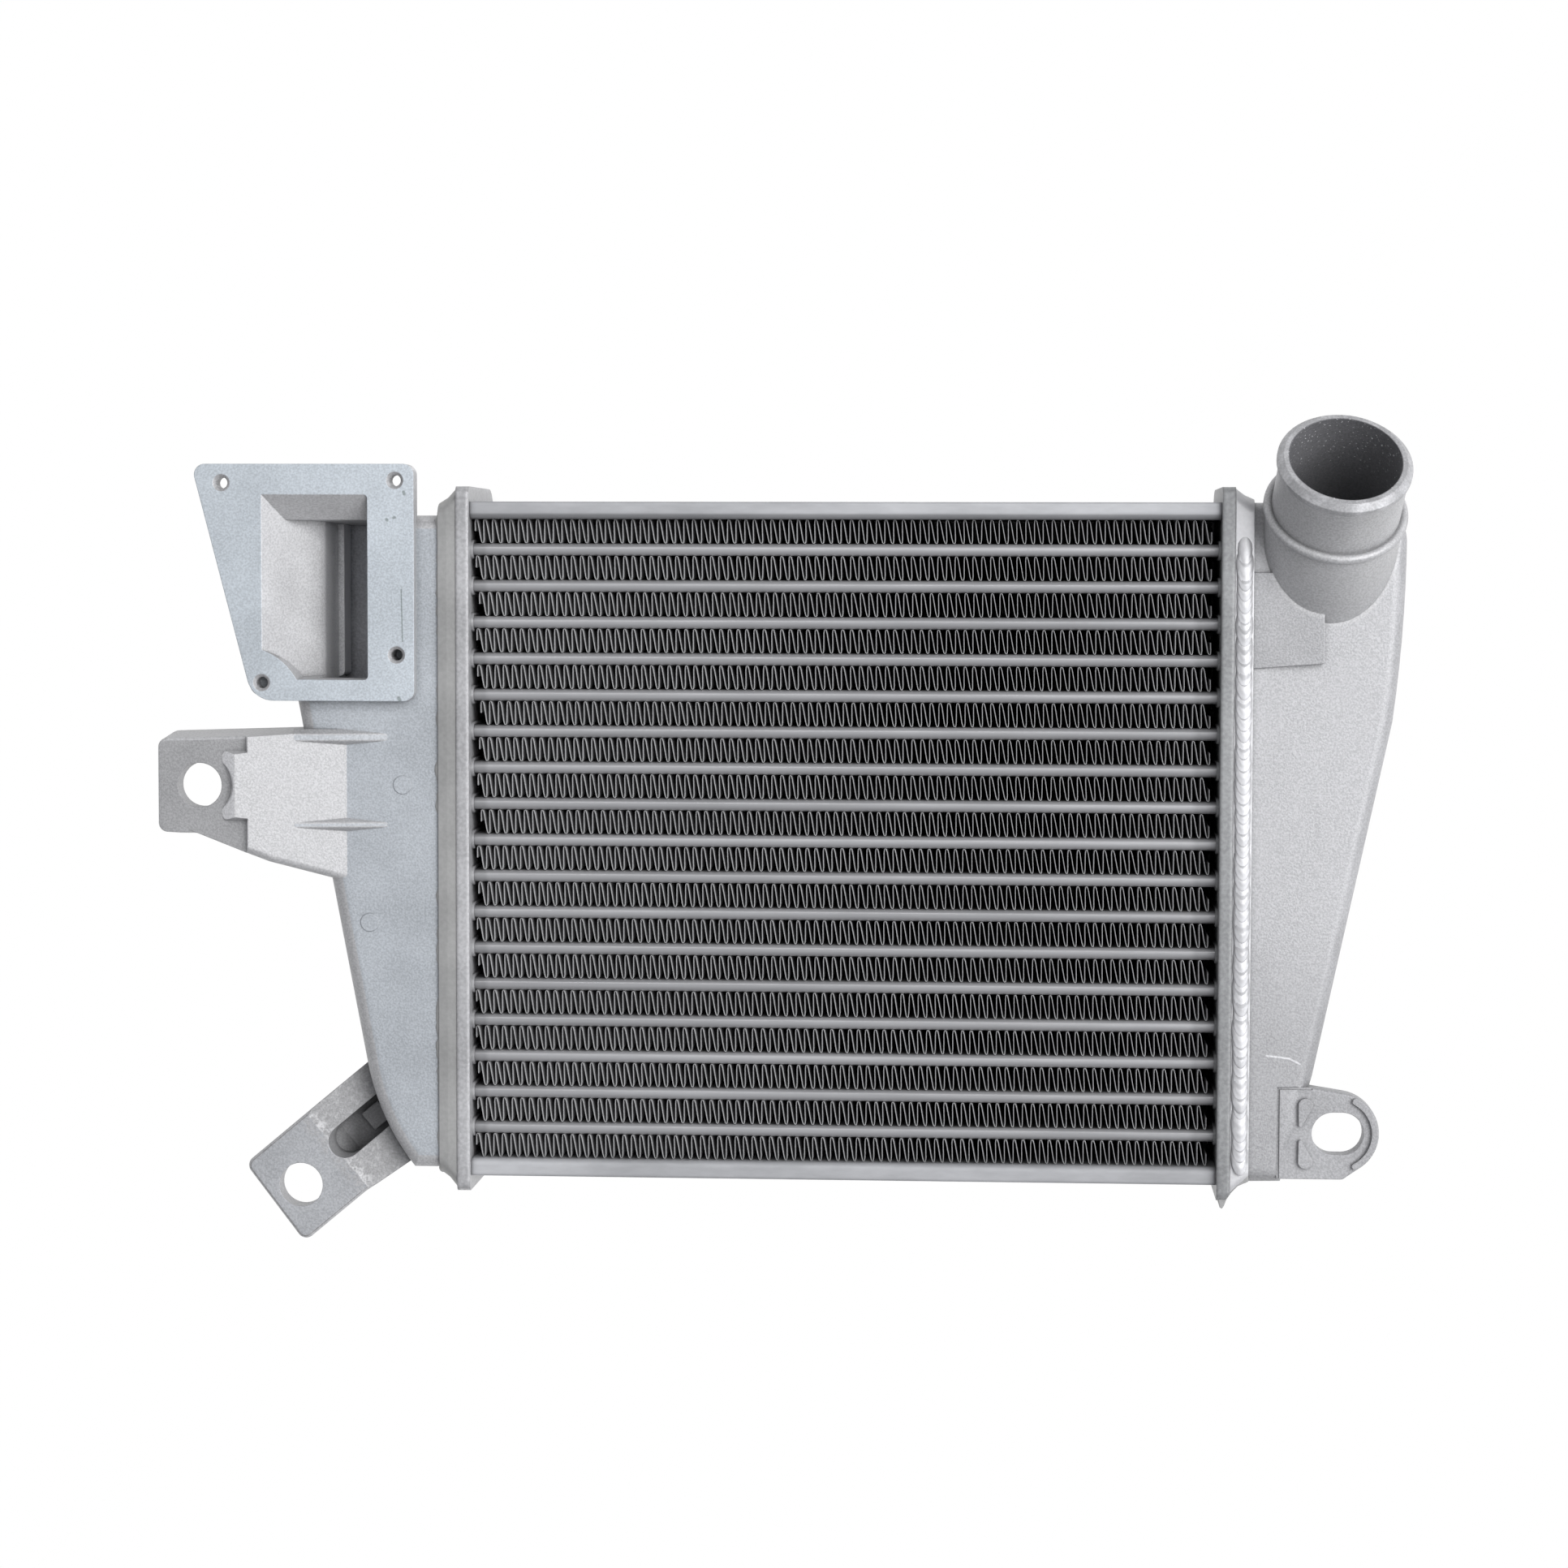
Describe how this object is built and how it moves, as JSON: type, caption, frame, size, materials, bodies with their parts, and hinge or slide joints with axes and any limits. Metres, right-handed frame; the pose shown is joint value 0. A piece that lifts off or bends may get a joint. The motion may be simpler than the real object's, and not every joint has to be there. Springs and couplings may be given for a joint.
{
  "type": "intercooler",
  "caption": "Air-to-air engine intercooler: brazed tube-and-fin core between cast end tanks, with a flanged inlet duct, an angled hose pipe and bolt lugs.",
  "frame": {"origin": "under the middle of the whole part, on the plane of the header plates' backs, which the part lies on", "axes": "+X across the core from the flange to the pipe, +Y up the stack of tubes, +Z through the depth towards the flange face and the pipe's mouth"},
  "size_m": [0.4622, 0.3088, 0.1021],
  "materials": {
    "cast_tank": "sand and die cast, light blasted grain",
    "header_sheet": "brazed plate, satin",
    "weld_metal": "rippled weld metal",
    "side_sheet": "brazed sheet, satin",
    "tube_sheet": "brazed tube, satin",
    "fin_sheet": "thin rolled sheet"
  },
  "bodies": {
    "root": {"left_tank": "cast_tank", "right_tank": "cast_tank", "left_header": "header_sheet", "right_header": "header_sheet", "left_weld_bead": "weld_metal", "right_weld_bead": "weld_metal", "top_side_plate": "side_sheet", "bottom_side_plate": "side_sheet", "tube_01": "tube_sheet", "tube_02": "tube_sheet", "tube_03": "tube_sheet", "tube_04": "tube_sheet", "tube_05": "tube_sheet", "tube_06": "tube_sheet", "tube_07": "tube_sheet", "tube_08": "tube_sheet", "tube_09": "tube_sheet", "tube_10": "tube_sheet", "tube_11": "tube_sheet", "tube_12": "tube_sheet", "tube_13": "tube_sheet", "tube_14": "tube_sheet", "tube_15": "tube_sheet", "tube_16": "tube_sheet", "tube_17": "tube_sheet", "fin_01": "fin_sheet", "fin_02": "fin_sheet", "fin_03": "fin_sheet", "fin_04": "fin_sheet", "fin_05": "fin_sheet", "fin_06": "fin_sheet", "fin_07": "fin_sheet", "fin_08": "fin_sheet", "fin_09": "fin_sheet", "fin_10": "fin_sheet", "fin_11": "fin_sheet", "fin_12": "fin_sheet", "fin_13": "fin_sheet", "fin_14": "fin_sheet", "fin_15": "fin_sheet", "fin_16": "fin_sheet", "fin_17": "fin_sheet", "fin_18": "fin_sheet"}
  },
  "joints": []
}
